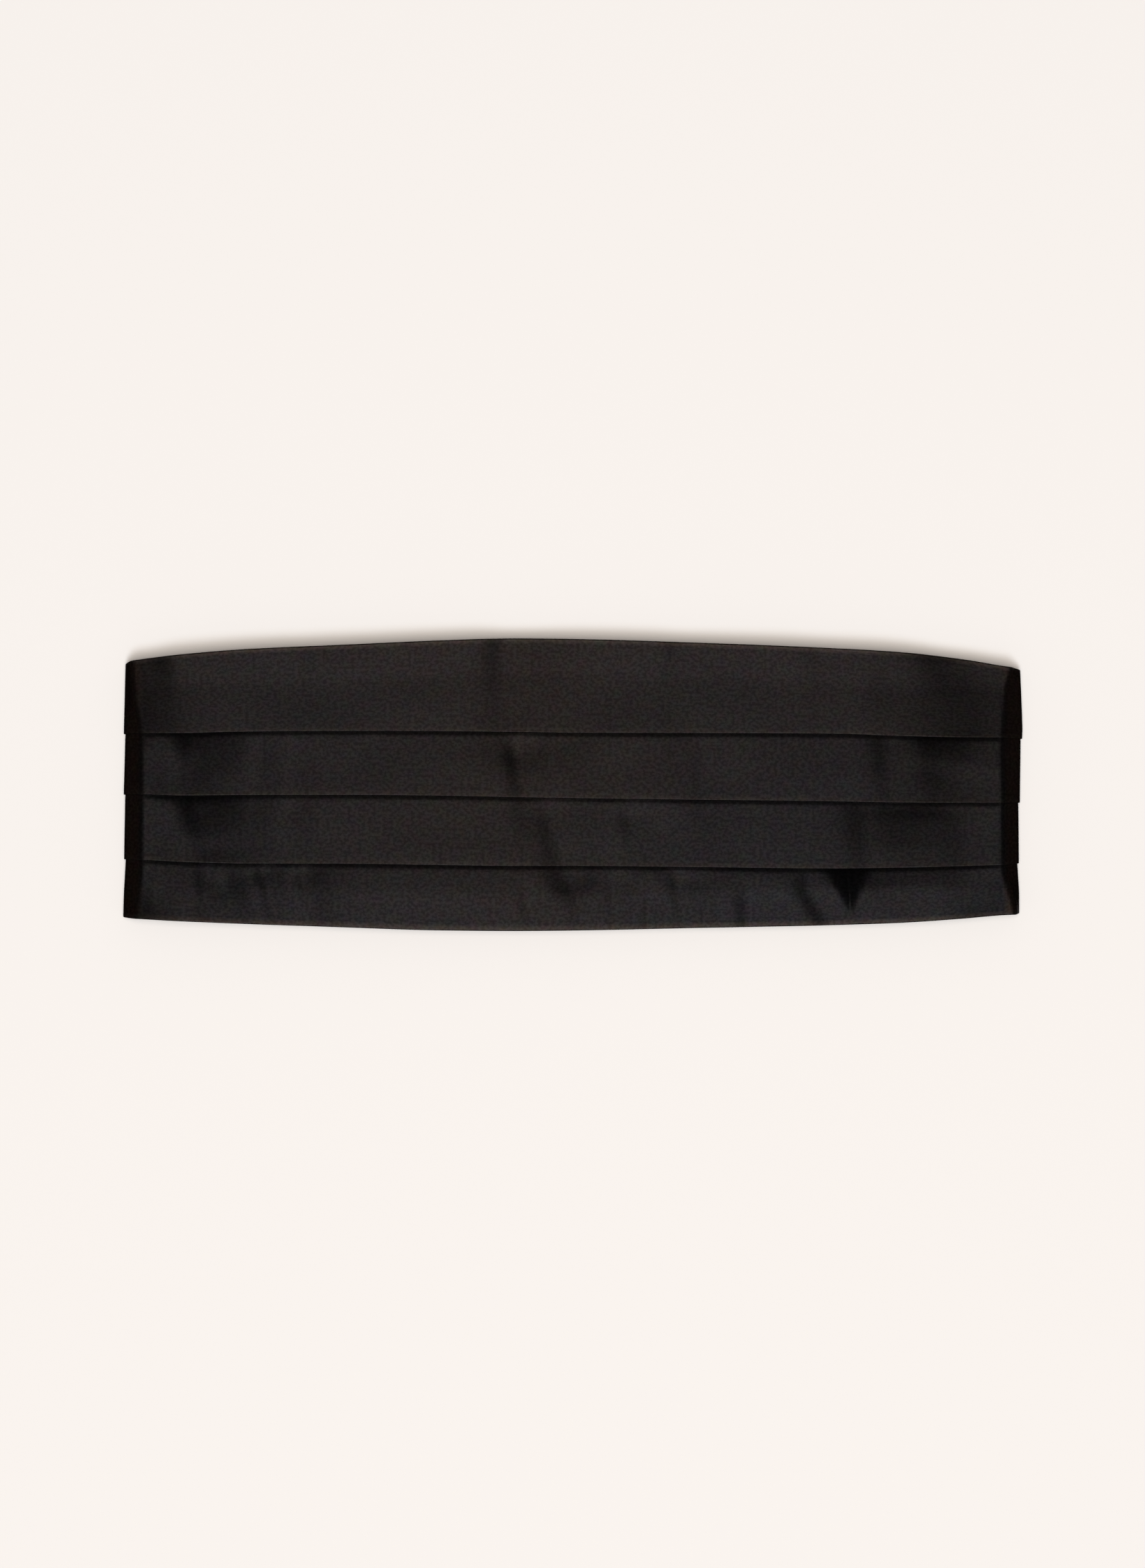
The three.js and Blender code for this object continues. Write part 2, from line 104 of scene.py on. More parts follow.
def between(start, end, share):
    return start + (end - start) * share


def measures_at(along):
    """The places across the cloth at one place along it."""
    row = 0
    while row < len(sections) - 2 and sections[row + 1].along < along:
        row += 1
    start, end = sections[row], sections[row + 1]
    span = end.along - start.along
    t = min(max((along - start.along) / span, 0), 1)
    values = []
    for column in column_range:
        ease = t * t * (3 - 2 * t)
        leave = t * (1 - t) ** 2 * span * slopes[row][column]
        arrive = t * t * (1 - t) * span * slopes[row + 1][column]
        values.append(between(start[column], end[column], ease) + leave - arrive)
    return Measures(*values)


def smooth(t):
    """0 below 0, 1 above 1, and an even rise between."""
    t = min(max(t, 0), 1)
    return t * t * (3 - 2 * t)


# The cloth is thinner than its solid, so its layers lie closer. Depths are from the solid's
# outer face to the middle of the cloth.
satin_thickness = 0.3
satin_inset = 0.1     # the satin's own face lies this far inside the solid's
outer_depth = satin_inset + satin_thickness / 2
loose_pitch = 0.4     # from one layer to the next over the front
pressed_pitch = 0.33  # and underneath, where the layers are pressed flat
fold_gap = 0.3        # a pleat stands off the tier below it by this much more
edge_sink = 0.15      # the hemmed edges lie this much deeper than the folds
hem_sink = 0.5        # and the top tier dips by this much where its hem's raw edge lies
knee_turn = 1.2       # how softly a tier bends where its hem ends
hem_fall = 0.7        # the bottom hem turns down by this much
corner_rise = 1.7     # and lies this much higher at the left end, where it turns up
rise_full = 190       # it has risen by all of that this far left of the middle
rise_length = 110

# Rows of the mesh across the cloth.
bend_rows = 4
inside_rows = 3       # on a layer inside a hem or a pleat
tucked_rows = 4       # on a tier, from its inner bend to the fold above it
first_tier_rows = 22
tier_rows = 18
tier_crowd = 1.5      # brings a tier's rows near the fold above it
guard = 0.3           # a row this far before each bend keeps its shading to the bend

# Where a pleat stands up from the tier below it, by its folded edge.
Lift = namedtuple("Lift", "fold x half_width height")
lifts = [
    Lift(1, -170, 14, 0.8),
    Lift(2, -168, 17, 1.3),
    Lift(3, -170, 17, 0.5),
    Lift(1, 164, 20, 1.5),
    Lift(2, 156, 24, 1.3),
    Lift(3, 152, 24, 1.1),
]


def lift_at(fold, x):
    """How far a folded edge stands up at one place along it."""
    return sum(
        lift.height * math.exp(-((x - lift.x) / lift.half_width) ** 2)
        for lift in lifts
        if lift.fold == fold
    )


# One point across the pleated cloth: its height on the panel, its depth, the tier that it belongs
# to, and how much painted highlight its colour gets at the ironed edges.
Row = namedtuple("Row", "y depth tier shine")
# painted highlight: the rows at the hemmed edges and the folded edges carry these shares, which
# lighten the satin's colour there
hem_highlight_paint = 1.0
fold_highlight_paint = 0.35


def bend(edge, start, end, way, tier, shine):
    """A half turn of the cloth that reaches to edge; way is 1 where it points up the panel."""
    radius = abs(start - end) / 2
    centre = edge - way * (radius + satin_thickness / 2)
    middle = (start + end) / 2
    rows = []
    for step in range(bend_rows + 1):
        angle = math.pi * step / bend_rows
        depth = middle + (start - middle) * math.cos(angle)
        rows.append(Row(centre + way * radius * math.sin(angle), depth, tier, shine))
    return rows


def run(start, end, depth_of, count, tier, crowd=1):
    """Rows between two bends, without their ends; crowd over 1 brings them near the start."""
    rows = []
    for step in range(1, count):
        y = start + (end - start) * (step / count) ** crowd
        rows.append(Row(y, depth_of(y), tier, 0))
    return rows


def bent(y, top, knee, bottom):
    """The depth of a tier that is straight but for one soft knee; each is (y, depth)."""
    upper = (top[1] - knee[1]) / (top[0] - knee[0])
    lower = (knee[1] - bottom[1]) / (knee[0] - bottom[0])
    offset = y - knee[0]
    soft = math.hypot(offset, knee_turn) - knee_turn
    return knee[1] + (upper + lower) / 2 * offset + (upper - lower) / 2 * soft


def pleated_rows(m):
    """The cloth from the raw edge of the top hem to the raw edge of the bottom hem."""
    folds = [m.fold1, m.fold2, m.fold3]
    loose = 1 - m.press
    pitch = between(pressed_pitch, loose_pitch, loose)
    under = outer_depth + 2 * pitch + fold_gap * loose
    lifted = [lift_at(index + 1, m.along) * loose for index in range(len(folds))]

    def tilt(y, above, below, tier):
        return lifted[tier - 1] * min(max((above - y) / (above - below), 0), 1)

    def first(y):
        top = (m.top, outer_depth + edge_sink)
        knee = (m.top - m.hem, outer_depth + edge_sink + hem_sink * loose)
        return bent(y, top, knee, (m.fold1, outer_depth)) - tilt(y, m.top, m.fold1, 1)

    def middle_tier(tier):
        above, below = folds[tier - 2], folds[tier - 1]

        def depth(y):
            share = (above - y) / (above - below)
            return between(under, outer_depth, share) - tilt(y, above, below, tier)

        return depth

    def last(y):
        knee = (m.bottom + m.hem, outer_depth + edge_sink)
        fall = hem_fall - corner_rise * (1 - smooth((m.along + rise_full) / rise_length))
        return bent(y, (m.fold3, under), knee, (m.bottom, knee[1] + fall * loose))

    tiers = [first, middle_tier(2), middle_tier(3), last]
    nose = (pitch + satin_thickness) / 2
    hem_edge = m.top - m.hem
    start, end = m.top - nose - guard, m.fold1 + nose + guard
    rows = [Row(hem_edge, first(hem_edge) + pitch, 1, 0)]
    rows += run(hem_edge, m.top - nose, lambda y: first(y) + pitch, inside_rows, 1)
    rows += bend(m.top, first(m.top) + pitch, first(m.top), 1, 1, hem_highlight_paint)
    rows.append(Row(start, first(start), 1, hem_highlight_paint))
    rows += run(start, end, first, first_tier_rows, 1)
    rows.append(Row(end, first(end), 1, fold_highlight_paint))
    for index, fold in enumerate(folds):
        tier, following = index + 1, index + 2
        face, below = tiers[index], tiers[index + 1]
        inner = fold + m.pleat
        rows += bend(fold, face(fold), face(fold) + pitch, -1, tier, fold_highlight_paint)
        rows += run(fold + nose, inner - nose, lambda y: face(y) + pitch, inside_rows, tier)
        rows += bend(inner, face(inner) + pitch, below(inner), 1, following, 0)
        rows += run(inner - nose, fold, below, tucked_rows, following)
        rows.append(Row(fold, below(fold), following, 0))
        end = (folds[index + 1] if index < 2 else m.bottom) + nose + guard
        rows += run(fold, end, below, tier_rows, following, tier_crowd)
        rows.append(Row(end, below(end), following, fold_highlight_paint if index < 2 else hem_highlight_paint))
    hem_edge = m.bottom + m.hem
    rows += bend(m.bottom, last(m.bottom), last(m.bottom) + pitch, -1, 4, hem_highlight_paint)
    rows += run(m.bottom + nose, hem_edge, lambda y: last(y) + pitch, inside_rows, 4)
    rows.append(Row(hem_edge, last(hem_edge) + pitch, 4, 0))
    return rows


# Where a tier sags away under the fold above it.
Sag = namedtuple("Sag", "tier x half_width reach depth")
sags = [
    Sag(2, -172, 9, 5.0, 0.5),
    Sag(3, -170, 16, 2.6, 0.5),
    Sag(4, -162, 8, 4.5, 0.45),
    Sag(4, 109, 8, 5.5, 0.7),
    Sag(2, 165, 12, 5.0, 0.4),
    Sag(3, 152, 22, 5.5, 0.75),
    Sag(4, 163, 18, 3.5, 0.1),
]
hidden_reach = 6      # a sag runs on this far under the fold
lip_depth = 0.34      # a tier dips a little along the whole of the fold above it
lip_reach = 0.9       # as far below it as this

# Dents and soft creases, each from its upper end to its lower end. The right side of a dent is
# skew times as wide as its left side.
Dent = namedtuple("Dent", "tier x0 y0 x1 y1 width0 width1 depth0 depth1 skew")
dents = [
    Dent(1, -29.0, 66, -27.5, 23, 6.4, 9.0, 1.9, 0.8, 2.6),
    Dent(1, 47.5, 66, 47.0, 23, 4.2, 5.0, 0.6, 0.35, 2.5),
    Dent(1, -187.5, 62, -185.0, 52, 3.0, 3.0, 0.5, 0.3, 1.6),
    Dent(1, -122.0, 62, -121.0, 57, 2.5, 2.5, 0.3, 0.2, 2.2),
    Dent(1, 112.0, 56, 108.0, 27, 6.0, 7.0, 0.6, 0.1, 2.4),
    Dent(1, 141.0, 46, 142.0, 26, 5.0, 6.0, 0.5, 0.3, 2.2),
    Dent(1, 163.0, 66, 166.0, 54, 6.0, 7.0, 1.4, 0.5, 1.6),
    Dent(2, -168.6, 24, -167.0, -4, 5.0, 5.6, 2.2, 1.1, 2.6),
    Dent(2, -139.0, 12, -140.0, -5, 3.0, 3.2, 0.4, 0.25, 2.2),
    Dent(2, -123.5, 12, -123.5, -5, 2.6, 2.8, 0.3, 0.2, 2.2),
    Dent(2, -89.5, 16, -85.5, -5, 2.4, 2.8, 0.35, 0.25, 2.2),
    Dent(2, -25.0, 12, -20.6, -6, 3.0, 4.2, 1.1, 0.9, 2.8),
    Dent(2, -1.5, 18, -1.0, -6, 3.4, 3.8, 0.45, 0.15, 2.2),
    Dent(2, 58.5, 14, 58.5, -7, 3.4, 3.6, 0.35, 0.45, 2.2),
    Dent(2, 140.5, 18, 143.0, -8, 5.0, 6.0, 1.1, 0.8, 2.6),
    Dent(2, 163.0, 23, 165.0, -2, 6.5, 6.5, 2.0, 0.6, 1.3),
    Dent(3, -165.4, -6, -161.0, -25, 4.8, 5.8, 2.1, 1.2, 2.6),
    Dent(3, -125.0, -14, -122.0, -36, 3.0, 3.4, 0.4, 0.15, 2.2),
    Dent(3, -9.0, -14, -3.5, -34, 4.4, 6.0, 0.9, 1.3, 2.4),
    Dent(3, 26.5, -16, 28.5, -36, 3.6, 4.2, 0.8, 0.2, 2.2),
    Dent(3, 40.0, -22, 40.0, -36, 2.6, 2.8, 0.3, 0.2, 2.2),
    Dent(3, 131.5, -12, 133.5, -36, 7.0, 6.4, 1.4, 1.1, 3.0),
    Dent(3, 172.0, -14, 174.0, -36, 4.6, 5.2, 0.4, 0.2, 1.6),
    Dent(4, 0.2, -46, 6.0, -64, 3.4, 5.0, 0.6, 0.5, 2.8),
    Dent(4, -136.8, -40, -128.5, -66, 3.2, 4.4, 1.3, 0.7, 3.0),
    Dent(4, -162.0, -44, -160.5, -66, 3.4, 4.2, 1.2, 0.5, 2.6),
    Dent(4, -153.5, -48, -147.0, -66, 2.8, 3.6, 0.8, 0.6, 2.8),
    Dent(4, -118.0, -40, -116.0, -66, 3.2, 4.2, 1.1, 0.5, 2.4),
    Dent(4, -20.0, -53, -16.0, -66, 2.6, 3.4, 0.6, 0.4, 2.0),
    Dent(4, 18.8, -48, 21.0, -66, 3.4, 4.2, 0.9, 0.4, 2.2),
    Dent(4, 34.5, -54, 35.0, -70, 3.4, 3.8, 0.9, 0.9, 2.4),
    Dent(4, 47.8, -45, 51.5, -66, 3.6, 4.2, 1.2, 0.8, 2.4),
    Dent(4, 77.5, -54, 78.0, -70, 3.4, 3.8, 0.8, 0.9, 2.4),
    Dent(4, 90.5, -55, 93.5, -66, 2.6, 3.4, 0.3, 0.3, 2.0),
    Dent(4, 105.5, -48, 116.5, -66, 4.0, 4.8, 1.2, 1.1, 2.6),
    Dent(1, -252.0, 42, -266.0, 32, 5.0, 4.0, 0.5, 0.3, 1.5),
    Dent(1, 262.0, 36, 276.0, 28, 5.0, 4.0, 0.5, 0.3, 1.5),
    Dent(2, -236.0, 12, -240.0, 8, 4.0, 3.5, 0.4, 0.3, 1.5),
    Dent(3, 238.0, -10, 230.0, -16, 4.0, 3.0, 0.5, 0.3, 1.5),
    Dent(4, -262.0, -32, -276.0, -38, 4.0, 3.0, 0.4, 0.3, 1.5),
]
fade_above = 14       # a dent dies away over these lengths past its ends
fade_below = 15
dent_sway = 1.6       # and wanders by this much on its way
sway_length = 12
dent_span = 45        # nothing is left of a dent this far to either side

# A fold pinched down in the shape of a V, from its wide end under a pleat to its point.
Pinch = namedtuple("Pinch", "tier x0 y0 x1 y1 half_width slope")
pinches = [Pinch(4, 122.2, -37, 123.3, -54.5, 9.5, 0.62)]
pinch_soft = 2.6      # how round its edges and its bottom are
pinch_tail = 0.5      # it runs on past its point by this share of its length

# Slow waves of cloth that has been worn and pressed, closer together up the panel than along
# it and different on each tier.
wave_height = 0.3
wave_length = 34
wave_squash = 1.6
tier_shift = 3.7


def waviness(tier, x, y):
    """How far the slow waves of a tier raise it at a place."""
    place = Vector((x / wave_length, y / wave_length * wave_squash, tier * tier_shift))
    return wave_height * noise.noise(place)


def sag_depth(tier, x, y, fold):
    """Extra depth of a tier's cloth at a place; fold is where the fold above it is, or None."""
    total = 0
    if fold is not None:
        below = fold - y
        total += lip_depth * (math.exp(-((below / lip_reach) ** 2)) if below > 0 else 1)
        for sag in sags:
            if sag.tier == tier:
                across = (x - sag.x) / sag.half_width
                down = below / (sag.reach if below > 0 else hidden_reach)
                total += sag.depth * math.exp(-(across * across + down * down))
    for dent in dents:
        if dent.tier != tier or abs(x - dent.x0) > dent_span:
            continue
        share = (dent.y0 - y) / (dent.y0 - dent.y1)
        inside = min(max(share, 0), 1)
        depth = between(dent.depth0, dent.depth1, inside)
        sway = dent_sway * noise.noise(Vector((dent.x0, y / sway_length, 0)))
        across = x - between(dent.x0, dent.x1, inside) - sway
        across /= between(dent.width0, dent.width1, inside)
        if across > 0:
            across /= dent.skew
        fade = smooth(1 + (dent.y0 - y) / fade_above) * smooth(1 + (y - dent.y1) / fade_below)
        total += depth * fade * math.exp(-across * across / 2)
    for pinch in pinches:
        if pinch.tier == tier:
            share = (pinch.y0 - y) / (pinch.y0 - pinch.y1)
            centre = between(pinch.x0, pinch.x1, max(share, 0))
            inside = pinch.half_width * (1 - max(share, 0)) - abs(x - centre)
            inside = (inside + math.hypot(inside, pinch_soft)) / 2
            upper_end = smooth(1 + (pinch.y0 - y) / hidden_reach)
            total += pinch.slope * inside * upper_end * smooth(1 + (1 - share) / pinch_tail)
    return total


carry_length = 22     # what a tier does at a fold dies away over this length below it


def carried(m, y, value_of):
    """A value of the tier that shows at y, led in from the tier above below each fold."""
    folds = [m.fold1, m.fold2, m.fold3]
    tier = 1 + sum(y < fold for fold in folds)
    value = value_of(tier, y)
    if tier > 1:
        fold = folds[tier - 2]
        carry = 1 - smooth((fold - y) / carry_length)
        if carry > 0:
            value += (value_of(tier - 1, fold) - value) * carry
    return value


def stand(m, x, row):
    """How far the cloth stands out at one of its rows, over its plain pleated form."""
    folds = [m.fold1, m.fold2, m.fold3]
    showing = 1 + sum(row.y < fold for fold in folds)

    def sagged(tier, y):
        return sag_depth(tier, x, y, folds[tier - 2] if tier > 1 else None)

    def height_of(tier, y):
        kept = 0 if tier == showing else sagged(tier, y)
        return waviness(tier, x, y) - kept

    height = carried(m, row.y, height_of) - sagged(showing, row.y)
    if row.tier > showing:
        height -= sagged(row.tier, row.y)
    return height


# Where the cloth's outer face runs: over the front, over a crease at each end, down a slope,
# round a rim near the surface and back underneath.
front_sag = 1.5       # the middle of the front lies this much lower than its ends
crease_radius = 2.2
rim_radius = 4.5

# The free corners droop: side is 1 at the right end and edge 1 along the top. A droop is whole
# at the corner, starts this far from the end and dies away over its width from the edge.
Droop = namedtuple("Droop", "side edge depth start ramp width")
droops = [
    Droop(-1, 1, 2.0, 26, 22, 40),
    Droop(1, 1, 2.4, 80, 62, 46),
    Droop(-1, -1, 1.0, 26, 20, 16),
    Droop(1, -1, 1.9, 38, 34, 22),
]
left_creases = [0.5, 0.0, 0.2, 1.2]     # how much lower the crease is on each tier
right_creases = [0.0, 0.2, 0.4, 0.2]
crease_reach = 16

# How far the ends stay inside the full width, and how steeply they turn down, in degrees, at
# some heights on the panel.
End = namedtuple("End", "y left right left_slope right_slope")
ends = [
    End(56, 0.3, 0.3, 68, 62),
    End(42, -0.15, -0.4, 59, 42),
    End(25, -0.4, -0.8, 47, 39),
    End(-6, -0.5, 0.3, 46, 47),
    End(-36, -0.3, 0.8, 47, 49),
    End(-60, -0.7, 0.4, 50, 76),
]


def end_at(side, y):
    """The inset and the slope of one end at a height on the panel."""
    row = 0
    while row < len(ends) - 2 and ends[row + 1].y > y:
        row += 1
    upper, lower = ends[row], ends[row + 1]
    share = min(max((upper.y - y) / (upper.y - lower.y), 0), 1)
    if side < 0:
        inset = between(upper.left, lower.left, share)
        slope = between(upper.left_slope, lower.left_slope, smooth(share))
    else:
        inset = between(upper.right, lower.right, share)
        slope = between(upper.right_slope, lower.right_slope, smooth(share))
    return inset, math.radians(slope)


def droop_at(m, x, y):
    """How much lower the front lies near its corners and creases."""
    total = 0
    for droop in droops:
        to_end = half_width - x * droop.side
        to_edge = m.top - y if droop.edge > 0 else y - m.bottom
        near = smooth((droop.start - to_end) / droop.ramp)
        total += droop.depth * near * max(1 - to_edge / droop.width, 0)
    lower = left_creases if x < 0 else right_creases
    near_end = smooth(1 - (half_width - abs(x)) / crease_reach)
    return total + carried(m, y, lambda tier, _: lower[tier - 1]) * near_end


def laid(along, y, droop):
    """A point of the outer face's path and the way that the face looks there, as (x, z)."""
    side = -1 if along < 0 else 1
    reach = abs(along)
    height = front_height - droop
    inset, end_slope = end_at(side, y)
    rim_x = half_width - inset - rim_radius
    crease_fall = crease_radius * (1 - math.cos(end_slope))
    rim_top = rim_radius * (1 + math.cos(end_slope))
    slope_length = (height - crease_fall - rim_top) / math.sin(end_slope)
    across = slope_length * math.cos(end_slope) + crease_radius * math.sin(end_slope)
    bend_start = rim_x + rim_radius * math.sin(end_slope) - across
    bend_end = bend_start + crease_radius * end_slope
    rim_start = bend_end + slope_length
    rim_end = rim_start + rim_radius * (math.pi - end_slope)
    if reach <= bend_start:
        sag = front_sag * (1 + math.cos(math.pi * reach / bend_start)) / 2
        return Vector((along, height - sag)), Vector((0, 1))
    if reach < bend_end:
        angle = (reach - bend_start) / crease_radius
        facing = Vector((side * math.sin(angle), math.cos(angle)))
        centre = Vector((side * bend_start, height - crease_radius))
        return centre + facing * crease_radius, facing
    if reach < rim_start:
        facing = Vector((side * math.sin(end_slope), math.cos(end_slope)))
        left = rim_start - reach
        rim = Vector((side * rim_x, rim_radius)) + facing * rim_radius
        return rim + left * Vector((-side * math.cos(end_slope), math.sin(end_slope))), facing
    if reach < rim_end:
        angle = end_slope + (reach - rim_start) / rim_radius
        facing = Vector((side * math.sin(angle), math.cos(angle)))
        return Vector((side * rim_x, rim_radius)) + facing * rim_radius, facing
    return Vector((side * (rim_x - reach + rim_end), 0)), Vector((0, -1))


# Columns of the mesh along one half of the cloth, from the raw end of its wing, which is the
# part underneath, to its middle. Each stretch has its two ends and its number of columns.
wing_end = 303.5
stretches = [(wing_end, 217, 9), (217, 187, 22), (187, 137, 33), (137, 112, 36), (112, 0, 70)]
half_columns = []
for start, end, steps in stretches:
    half_columns += [start + (end - start) * step / steps for step in range(steps)]
columns = [-along for along in half_columns] + [0] + half_columns[::-1]

# Creases and dents are whole on the front and on the wings, and faint where the cloth turns.
front_margin = 2
front_fade = 12
wing_start = 220
wing_fade = 10
turn_share = 0.2
floor_gap = 0.04      # the cloth touches the floor only with its sewing


def panel_point(along, m, row):
    """The place of one point of the cloth, in metres."""
    flat_x = min(max(along, -half_width), half_width)
    point, facing = laid(along, row.y, droop_at(m, flat_x, row.y))
    on_front = smooth((half_width - front_margin - abs(along)) / front_fade)
    on_wing = smooth((abs(along) - wing_start) / wing_fade)
    share = on_front + on_wing + turn_share * (1 - on_front - on_wing)
    point = point - facing * (row.depth - stand(m, along, row) * share)
    lowest = satin_thickness / 2 + floor_gap
    return Vector((point.x, row.y, max(point.y, lowest))) * MM


def cut_lengths(rows):
    """How far each row is from the raw edge of the top hem, along the cloth."""
    lengths = [0.0]
    for before, after in zip(rows, rows[1:]):
        lengths.append(lengths[-1] + math.hypot(after.y - before.y, after.depth - before.depth))
    return lengths


def lay_flat(bm, layer, flat_places):
    """Smooths a cloth, and gives each corner of its faces its place on the flat cloth."""
    for face in bm.faces:
        face.smooth = True
        for loop in face.loops:
            loop[layer].uv = flat_places[loop.vert]


middle_rows = pleated_rows(measures_at(0))
cut_places = cut_lengths(middle_rows)
column_rows = []
for along in columns:
    m = measures_at(along)
    column_rows.append((along, m, pleated_rows(m)))

panel_bm = bmesh.new()
column_steps, row_steps = len(columns) - 1, len(middle_rows) - 1
bmesh.ops.create_grid(panel_bm, x_segments=column_steps, y_segments=row_steps, size=0.5)
cut = panel_bm.loops.layers.uv.new("cut")
# a painted highlight, per point, for the satin's colour
shine = panel_bm.verts.layers.float.new("shine")
flat_places = {}
for vert in panel_bm.verts:
    column = round((vert.co.x + 0.5) * column_steps)
    row = round((0.5 - vert.co.y) * row_steps)
    along, m, rows = column_rows[column]
    vert.co = panel_point(along, m, rows[row])
    vert[shine] = rows[row].shine
    flat_places[vert] = (along * MM, cut_places[row] * MM)
lay_flat(panel_bm, cut, flat_places)
cloth_tree = BVHTree.FromBMesh(panel_bm)


class Shade:
    """An output of a material's nodes. Sums and products of it add Math nodes."""

    def __init__(self, tree, socket=None):
        self.tree = tree
        self.socket = socket

    def node(self, kind, settings=None, inputs=None, output=0):
        """Adds a node, sets it, then gives its sockets their values or links."""
        made = self.tree.nodes.new(kind)
        for name, value in (settings or {}).items():
            setattr(made, name, value)
        for name, value in (inputs or {}).items():
            if isinstance(value, Shade):
                value.feed(made, name)
            else:
                made.inputs[name].default_value = value
        return Shade(self.tree, made.outputs[output])

    def feed(self, node, name):
        """Links this output to one socket of a node."""
        self.tree.links.new(self.socket, node.inputs[name])

    def math(self, operation, *values):
        return self.node("ShaderNodeMath", {"operation": operation}, dict(enumerate(values)))

    def __add__(self, other):
        return self.math("ADD", self, other)

    def __radd__(self, other):
        return self.math("ADD", other, self)

    def __sub__(self, other):
        return self.math("SUBTRACT", self, other)

    def __rsub__(self, other):
        return self.math("SUBTRACT", other, self)

    def __mul__(self, other):
        return self.math("MULTIPLY", self, other)

    def __rmul__(self, other):
        return self.math("MULTIPLY", other, self)

    def __abs__(self):
        return self.math("ABSOLUTE", self)

    def at_most(self, limit):
        return self.math("MINIMUM", self, limit)

    def sine(self):
        return self.math("SINE", self)


def new_finish(name):
    """A material, its shader node and the start of its nodes."""
    material = bpy.data.materials.new(name)
    material.use_nodes = True
    tree = material.node_tree
    return material, tree.nodes["Principled BSDF"], Shade(tree)


def mixed(nodes, factor, first, second, blend="MIX"):
    """A colour between two, with a factor that may vary."""
    settings = {"data_type": "RGBA", "blend_type": blend}
    return nodes.node("ShaderNodeMix", settings, {0: factor, 6: first, 7: second}, output=2)


def noise_on(nodes, place, grains, detail):
    """Noise with so many grains to the metre each way."""
    scaled = nodes.node("ShaderNodeMapping", {}, {"Vector": place, "Scale": grains})
    values = {"Vector": scaled, "Scale": 1.0, "Detail": detail}
    return nodes.node("ShaderNodeTexNoise", {}, values)


def bumped(nodes, height, distance, strength):
    """The facing of a surface that is raised by height times distance, in metres."""
    values = {"Strength": strength, "Distance": distance, "Height": height}
    return nodes.node("ShaderNodeBump", {}, values)


def placed(name, data):
    """An object in the scene, at its origin."""
    made = bpy.data.objects.new(name, data)
    bpy.context.scene.collection.objects.link(made)
    return made


def new_mesh(name, bm):
    """A mesh with the faces of a bmesh, which is freed."""
    mesh = bpy.data.meshes.new(name)
    bm.to_mesh(mesh)
    bm.free()
    return mesh


def new_piece(name, bm, material):
    """A finished object from a mesh that is already in place."""
    piece = placed(name, new_mesh(name, bm))
    piece.data.materials.append(material)
    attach(piece, "root")
    return piece


def give_body(piece, thickness):
    """Cloth of an even thickness, on both sides of a mesh."""
    body = piece.modifiers.new("cloth", "SOLIDIFY")
    body.thickness = thickness * MM
    body.offset = 0


# The satin is a worn black. It is warmest a little left of the middle, and cooler away from
# there and down the front, in faint clouds. Places are in metres.
warm = (0.0073, 0.0059, 0.0055, 1)
cool = (0.0055, 0.0053, 0.0060, 1)
warmest = -0.02
least_cool, most_cool = 0.24, 0.64
cooler_sideways, cooler_downwards = 5.0, 3.2
cloud_contrast = 0.9

# Its turned ends are tinted brown as painted warm shade, its ironed edges get a painted
# highlight, and its weave shows as speckles.
end_shade_brown = (0.0094, 0.0064, 0.0053, 1)
end_shade_start, end_shade_rise = 0.1905, 300.0
highlight_colour = (0.0140, 0.0112, 0.0098, 1)
black, white = (0, 0, 0, 1), (1, 1, 1, 1)
speck_contrast = 5.0
speck_dark, speck_light = 0.2, 0.0019
patch_strength = 0.2
thread_relief, grain_relief = 0.6, 0.4

satin, satin_shader, nodes = new_finish("satin")
on_cut = nodes.node("ShaderNodeUVMap", {"uv_map": "cut"})
on_panel = nodes.node("ShaderNodeTexCoord", output="Object")
grain = noise_on(nodes, on_cut, (640, 760, 1), 2.0)
threads = noise_on(nodes, on_cut, (260, 2600, 1), 2.0)
cloudy = noise_on(nodes, on_panel, (14, 22, 14), 3.0)
patchy = nodes.node(
    "ShaderNodeTexNoise", {}, {"Vector": on_cut, "Scale": 210.0, "Detail": 1.0}, output=1
)
across = nodes.node("ShaderNodeSeparateXYZ", {}, {"Vector": on_panel}, output=0)
upwards = nodes.node("ShaderNodeSeparateXYZ", {}, {"Vector": on_panel}, output=1)
highlight_share = nodes.node("ShaderNodeAttribute", {"attribute_name": "shine"}, output=2)

coolness = (abs(across - warmest) * cooler_sideways + least_cool).at_most(most_cool)
coolness = coolness - upwards * cooler_downwards + (cloudy - 0.5) * cloud_contrast
tone = mixed(nodes, coolness, warm, cool)
# painted shade: past the crease at each end, the satin's colour turns to a warm brown that stands
# in for the shade on the turned-down ends
tone = mixed(nodes, (abs(across) - end_shade_start) * end_shade_rise, tone, end_shade_brown)
# painted highlight along the hemmed and folded edges
tone = mixed(nodes, highlight_share, tone, highlight_colour)
speck = 0.5 + (grain - 0.5) * speck_contrast
dark = mixed(nodes, speck_dark, tone, black)
light = mixed(nodes, speck_light, tone, white)
speckled = mixed(nodes, speck, dark, light)
mixed(nodes, patch_strength, speckled, patchy, "OVERLAY").feed(satin_shader, "Base Color")
relief = threads * thread_relief + grain * grain_relief
bumped(nodes, relief, 0.00006, 0.5).feed(satin_shader, "Normal")
satin_shader.inputs["Roughness"].default_value = 0.38
satin_shader.inputs["Metallic"].default_value = 0.7
satin_shader.inputs["Specular IOR Level"].default_value = 0.0
satin_shader.inputs["Specular Tint"].default_value = (0.3, 0.3, 0.3, 1)

